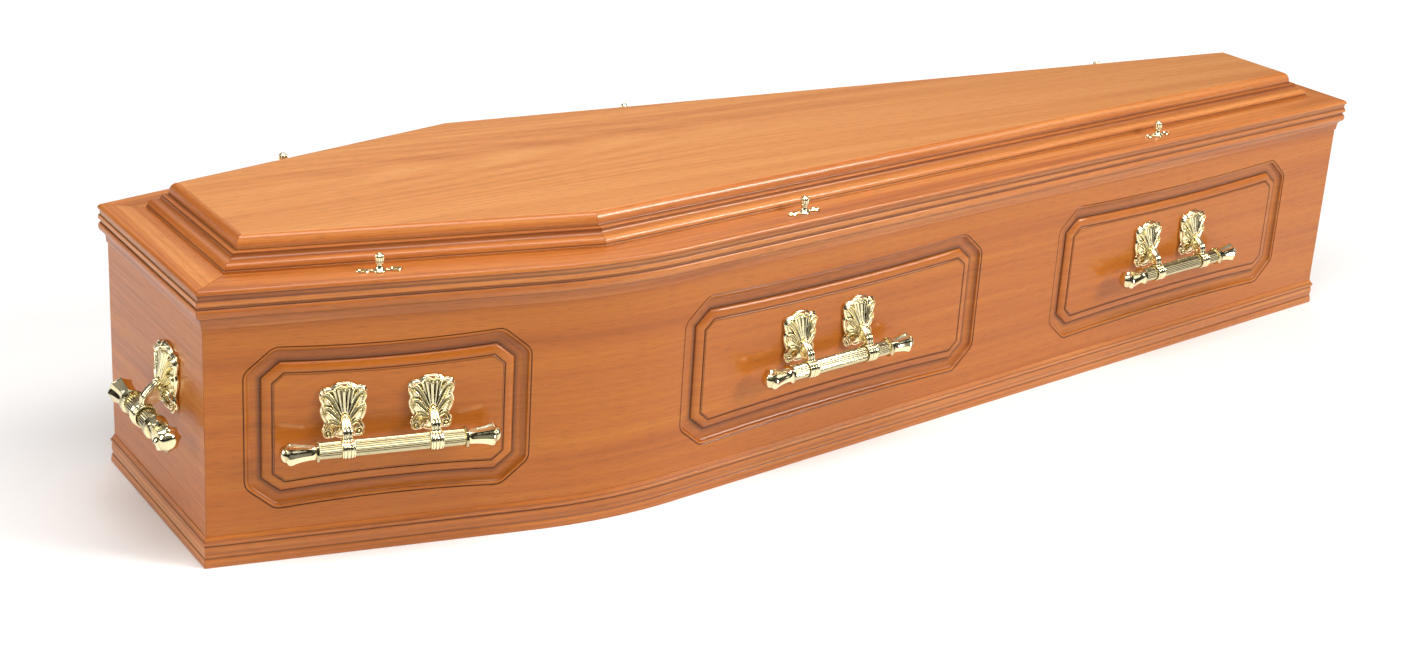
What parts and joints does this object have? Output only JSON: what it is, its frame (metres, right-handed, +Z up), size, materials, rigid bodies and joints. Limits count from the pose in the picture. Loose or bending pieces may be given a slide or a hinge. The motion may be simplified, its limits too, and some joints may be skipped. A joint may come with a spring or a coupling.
{
  "type": "wooden coffin",
  "caption": "Shouldered wooden coffin with a stepped raised lid, routed side panels, bar handles on shell brackets and lid screws.",
  "frame": {"origin": "centre of the footprint, on the surface that the coffin stands on", "axes": "+X from the head end to the foot end, +Y to the left side of someone lying inside, +Z up"},
  "size_m": [2.031, 0.5776, 0.387],
  "materials": {
    "lacquered_wood": "satin lacquer over honey-red mahogany veneer",
    "bare_board": "bare board",
    "plated_metal": "polished pale gold plating"
  },
  "bodies": {
    "root": {"base_board": "bare_board", "right_side": "lacquered_wood", "left_side": "lacquered_wood", "head_end": "lacquered_wood", "foot_end": "lacquered_wood", "plinth_right": "lacquered_wood", "plinth_left": "lacquered_wood", "plinth_head": "lacquered_wood", "plinth_foot": "lacquered_wood", "lid_board": "lacquered_wood", "lid_skirt_right": "lacquered_wood", "lid_skirt_left": "lacquered_wood", "lid_skirt_head": "lacquered_wood", "lid_skirt_foot": "lacquered_wood", "lid_frame_right_head": "lacquered_wood", "lid_frame_right_foot": "lacquered_wood", "lid_frame_left_head": "lacquered_wood", "lid_frame_left_foot": "lacquered_wood", "lid_frame_head": "lacquered_wood", "lid_frame_foot": "lacquered_wood", "raised_panel": "lacquered_wood", "handle_bar_right_head": "plated_metal", "handle_bar_right_middle": "plated_metal", "handle_bar_right_foot": "plated_metal", "handle_bar_left_head": "plated_metal", "handle_bar_left_middle": "plated_metal", "handle_bar_left_foot": "plated_metal", "handle_bar_head_end": "plated_metal", "handle_bar_foot_end": "plated_metal", "bracket_right_head_a": "plated_metal", "bracket_right_head_b": "plated_metal", "bracket_right_middle_a": "plated_metal", "bracket_right_middle_b": "plated_metal", "bracket_right_foot_a": "plated_metal", "bracket_right_foot_b": "plated_metal", "bracket_left_head_a": "plated_metal", "bracket_left_head_b": "plated_metal", "bracket_left_middle_a": "plated_metal", "bracket_left_middle_b": "plated_metal", "bracket_left_foot_a": "plated_metal", "bracket_left_foot_b": "plated_metal", "bracket_head_end": "plated_metal", "bracket_foot_end": "plated_metal", "lid_screw_right_head": "plated_metal", "lid_screw_right_middle": "plated_metal", "lid_screw_right_foot": "plated_metal", "lid_screw_left_head": "plated_metal", "lid_screw_left_middle": "plated_metal", "lid_screw_left_foot": "plated_metal"}
  },
  "joints": []
}
